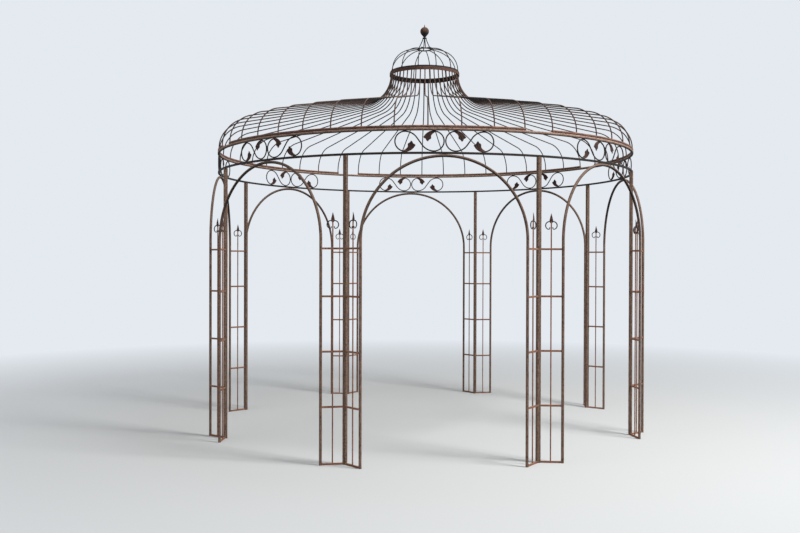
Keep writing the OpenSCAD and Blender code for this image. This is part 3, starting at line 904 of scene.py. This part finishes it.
# %% The dome's ribs and crown ring
cage = Ironwork()
for i in range(DOME_RIBS):
    turn = (i + 0.5) * TAU / DOME_RIBS
    line, side = upright(rib_flat, turn)
    cage.bar(line, side, round_outline(RIB_D, 10), scale=swelling(line, 0.02))
    out, sideways = directions(turn)
    cage.bead(out * COLLAR_R + UP * dome_base, sideways, out, *FOOT_BEAD)
    cage.bead(out * (CROWN_R + CROWN_BAR / 2) + UP * crown_z, UP, out, *CROWN_BEAD)
crown_line = on_level(arc([0, 0], CROWN_R, 0, 360, 0.008)[:-1], crown_z)
cage.bar(crown_line, UP, square_outline(CROWN_BAR, CROWN_BAR, CROWN_CORNER), ring=True)
cage.make("dome_ribs", "roof_iron", [SCROLL_IRON], "dome_cage")
print("dome top", round(crown_z + CROWN_BAR / 2, 4))

# %% The flared stem
STEM_RODS, STEM_TURN, STEM_LEAN = 4, np.radians(5), np.radians(18)
STEM_ROD_D, STEM_H, KNOB_D = 0.008, 0.095, 0.015
HUB_R, HUB_T, HUB_EDGE = 0.012, 0.009, 0.001
# how far outside the hub the middle of a rod's top end lies
STEM_OUT = 0.001
stem_base = crown_z + CROWN_BAR / 2 + SEAT
hub_z = stem_base + STEM_H
hub_top = hub_z + HUB_T
stem_top_r = HUB_R + STEM_OUT
flare = 2 * np.arctan((CROWN_R - stem_top_r) / STEM_H) - STEM_LEAN
flare_r = STEM_H / (np.sin(flare) - np.sin(STEM_LEAN))
flare_c = at([stem_top_r, hub_z], flare_r, np.degrees(STEM_LEAN))
stem_flat = arc(flare_c, flare_r, 180 + np.degrees(flare), 180 + np.degrees(STEM_LEAN), 0.006)


def turned(iron_work, profile, places=32, wear_and_shade=0.0):
    """Carries an outline, given as radius and height from the bottom up, round the axis."""
    angle = np.arange(places) * TAU / places
    ring_shape = np.column_stack([np.cos(angle), np.sin(angle)])
    grid = np.empty((len(profile), places, 3))
    grid[..., :2] = profile[:, None, :1] * ring_shape
    grid[..., 2] = profile[:, None, 1]
    iron_work.grid(grid, grid + elsewhere(), wear_and_shade)


stem = Ironwork()
for i in range(STEM_RODS):
    turn = STEM_TURN + i * TAU / STEM_RODS
    line, side = upright(stem_flat, turn)
    # raised so that the slanting foot stands on the crown ring
    line[0, 2] += STEM_ROD_D / 2 * np.sin(flare)
    stem.bar(line, side, round_outline(STEM_ROD_D, 10))
    out, _ = directions(turn)
    stem.bead(out * stem_top_r + UP * (hub_top - KNOB_D / 2), UP, out, KNOB_D / 2, KNOB_D / 2)
turned(stem, np.array([[HUB_R - HUB_EDGE, hub_z], [HUB_R, hub_z + HUB_EDGE],
                       [HUB_R, hub_top - HUB_EDGE], [HUB_R - HUB_EDGE, hub_top]]))
stem.make("finial_stem_rods", "finial_iron", [SCROLL_IRON], "finial_stem")
print("the stem stands from", round(stem_base, 3), "to", round(hub_top, 3))

# %% The ball with its cone and point
# angles between which the ball is round: from its cone up to its point
BALL_D, BALL_START, BALL_END = 0.080, -40, 81
CONE_H, CONE_FOOT_R, CONE_FOOT_H = 0.015, 0.009, 0.002
# radii of the point at its foot, at the share of its height where it thins, and at its tip
POINT_H, POINT_THIN = 0.024, 0.45
POINT_R, POINT_THIN_R, POINT_TIP_R = 0.006, 0.0035, 0.0008
ball_z = hub_top + CONE_H + BALL_D / 2
ball_top, foot_z = ball_z + BALL_D / 2, hub_top + SEAT
ball_line = np.vstack([
    [CONE_FOOT_R, foot_z],
    [CONE_FOOT_R, foot_z + CONE_FOOT_H],
    arc([0, ball_z], BALL_D / 2, BALL_START, BALL_END, 0.003),
    [POINT_R, ball_top],
    [POINT_THIN_R, ball_top + POINT_H * POINT_THIN],
    [POINT_TIP_R, ball_top + POINT_H],
])
# painted shade: nought on the upper half, and down to -1 at the ball's foot
ball_lower_shade = np.clip((ball_line[:, 1:] - ball_z) / (BALL_D / 2), -1, 0)
ball = Ironwork()
turned(ball, ball_line, places=40, wear_and_shade=ball_lower_shade)
ball.make("finial_ball_turned", "finial_iron", [BALL_IRON], "finial_ball")
print("top of the point", round(ball_top + POINT_H, 4))

# %% [markdown]
# Floor and light
#
# A pale floor and a pale sky keep the thin bars readable. The sky is two things: what the camera
# sees, which is nearly white, and what lights the iron, which is plain and dimmer. One large soft
# lamp stands to the right and a weaker one to the left, as the sun and the open sky did.

# %% Floor and background
BACKGROUND = srgb(228, 234, 240)
# distances from the axis between which the floor melts into the background
MELT_START, MELT_END = 2.4, 8.5


def sight(tree):
    """One for rays that come from the camera, or from it by way of gloss or glass."""
    path = add_node(tree, "ShaderNodeLightPath").outputs
    seen = math(tree, "MAXIMUM", path["Is Camera Ray"], path["Is Glossy Ray"])
    return math(tree, "MAXIMUM", seen, path["Is Transmission Ray"])


def floor_material():
    """Plain pale ground that melts into the background far from the object."""
    material, tree, shader = new_material("pale_floor")
    fill(tree, shader, {"Base Color": srgb(210, 211, 210), "Roughness": 0.95, "Specular IOR Level": 0.1})
    place = add_node(tree, "ShaderNodeTexCoord").outputs["Object"]
    distance = add_node(tree, "ShaderNodeVectorMath", {0: place}, operation="LENGTH").outputs["Value"]
    far = math(tree, "MULTIPLY", spread(tree, distance, MELT_START, MELT_END), sight(tree), clamp=True)
    glow = add_node(tree, "ShaderNodeEmission", {"Color": BACKGROUND, "Strength": 1.0})
    mixed = add_node(tree, "ShaderNodeMixShader", {0: far, 1: shader.outputs[0], 2: glow.outputs[0]})
    fill(tree, tree.nodes["Material Output"], {"Surface": mixed.outputs[0]})
    return material


bpy.ops.mesh.primitive_circle_add(vertices=96, radius=60, fill_type="NGON")
floor = bpy.context.object
floor.name = "floor"
floor.data.materials.append(floor_material())
print("the floor melts away from", MELT_START, "to", MELT_END, "m")

# %% Sky
scene = bpy.context.scene
scene.world = bpy.data.worlds.new("pale_sky")
scene.world.use_nodes = True
sky = scene.world.node_tree
sky.nodes.remove(sky.nodes["Background"])
seen_sky = add_node(sky, "ShaderNodeBackground", {"Color": BACKGROUND, "Strength": 1.0}).outputs[0]
daylight = {"Color": (0.93, 0.96, 1.0, 1.0), "Strength": 0.3}
lighting = add_node(sky, "ShaderNodeBackground", daylight).outputs[0]
mixed = add_node(sky, "ShaderNodeMixShader", {0: sight(sky), 1: lighting, 2: seen_sky})
fill(sky, sky.nodes["World Output"], {"Surface": mixed.outputs[0]})
print("sky:", len(sky.nodes), "nodes")

# %% Lamps
from mathutils import Matrix, Vector

LAMP_AIM_Z = 1.6


def lamp(name, angle, height, distance, width, power):
    """A square soft lamp at that angle round the pavilion, which looks at its middle."""
    out, _ = directions(np.radians(angle))
    data = bpy.data.lights.new(name, "AREA")
    data.energy, data.size = power, width
    holder = bpy.data.objects.new(name, data)
    scene.collection.objects.link(holder)
    holder.location = out * distance + UP * height
    aim = Vector((0, 0, LAMP_AIM_Z)) - holder.location
    holder.rotation_euler = aim.to_track_quat("-Z", "Y").to_euler()
    print(name, "stands", round(aim.length, 1), "m away")


lamp("sun_side", angle=52, height=9.0, distance=8.0, width=3.0, power=1350)
lamp("sky_side", angle=-60, height=5.0, distance=9.0, width=6.0, power=110)

# %% [markdown]
# Camera
#
# The camera stands where the photo was taken from: the place, the aim and the focal length were
# solved from the round rings and the eight posts. It is a little left of the middle of bay 1 and
# looks almost level.

# %% The camera
# its place: distance from the axis, height, and degrees to the left of the middle of bay 1
CAMERA_DISTANCE, CAMERA_HEIGHT, CAMERA_TURN = 8.246, 1.4885, 4.55
LENS, SENSOR = 40.334, 36.0
# its aim: the turn from +X, how far it looks down, and how far it is rolled
AIM_TURN, AIM_DOWN, AIM_ROLL = np.radians(91.53 - CAMERA_TURN), np.radians(0.44), np.radians(0.15)
level = Vector((np.cos(AIM_TURN), np.sin(AIM_TURN), 0))
right = Vector((np.sin(AIM_TURN), -np.cos(AIM_TURN), 0))
forward = level * np.cos(AIM_DOWN) - Vector(UP) * np.sin(AIM_DOWN)
upward = level * np.sin(AIM_DOWN) + Vector(UP) * np.cos(AIM_DOWN)
rolled_right = right * np.cos(AIM_ROLL) + upward * np.sin(AIM_ROLL)
rolled_up = upward * np.cos(AIM_ROLL) - right * np.sin(AIM_ROLL)
camera_data = bpy.data.cameras.new("camera")
camera_data.lens, camera_data.sensor_width = LENS, SENSOR
camera = bpy.data.objects.new("camera", camera_data)
scene.collection.objects.link(camera)
stand, _ = directions(-np.radians(CAMERA_TURN))
turned_axes = Matrix((rolled_right, rolled_up, -forward)).transposed().to_4x4()
camera.matrix_world = Matrix.Translation(stand * CAMERA_DISTANCE + UP * CAMERA_HEIGHT) @ turned_axes
scene.camera = camera
scene.view_settings.view_transform = "Standard"
print("camera at", [round(place, 3) for place in camera.matrix_world.translation])
